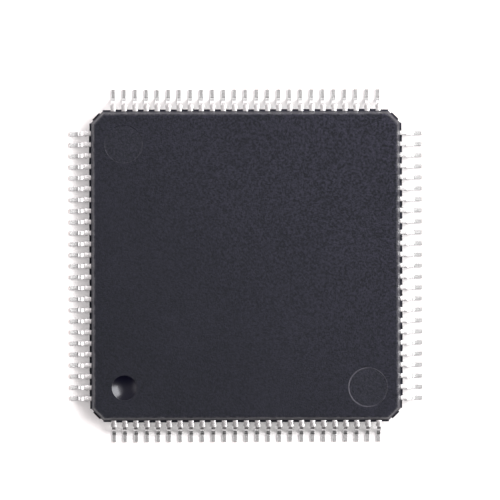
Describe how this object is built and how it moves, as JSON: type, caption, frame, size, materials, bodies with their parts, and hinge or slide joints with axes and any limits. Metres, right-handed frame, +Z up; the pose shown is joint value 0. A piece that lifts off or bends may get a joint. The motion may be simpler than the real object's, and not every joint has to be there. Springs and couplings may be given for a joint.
{
  "type": "quad flat pack chip",
  "caption": "Square black moulded chip with rows of bent gull-wing leads on all four sides, a round pin 1 dimple and chamfered corners.",
  "frame": {"origin": "middle of the plane that the lead feet stand on, under the middle of the body", "axes": "+Z up out of the marked face, +X and +Y along the two pairs of lead rows, pin 1 at the left end of the -Y row"},
  "size_m": [0.016, 0.016, 0.0015],
  "materials": {
    "mould_resin": "matte",
    "plated_lead": "satin",
    "frame_copper": "satin",
    "die_adhesive": "satin",
    "silicon": "gloss",
    "gold_wire": "polished"
  },
  "bodies": {
    "root": {"moulded_body": "mould_resin", "leads_front": "plated_lead", "leads_right": "plated_lead", "leads_back": "plated_lead", "leads_left": "plated_lead", "die_pad": "frame_copper", "die_attach": "die_adhesive", "silicon_die": "silicon", "bond_wires_front": "gold_wire", "bond_wires_right": "gold_wire", "bond_wires_back": "gold_wire", "bond_wires_left": "gold_wire"}
  },
  "joints": []
}
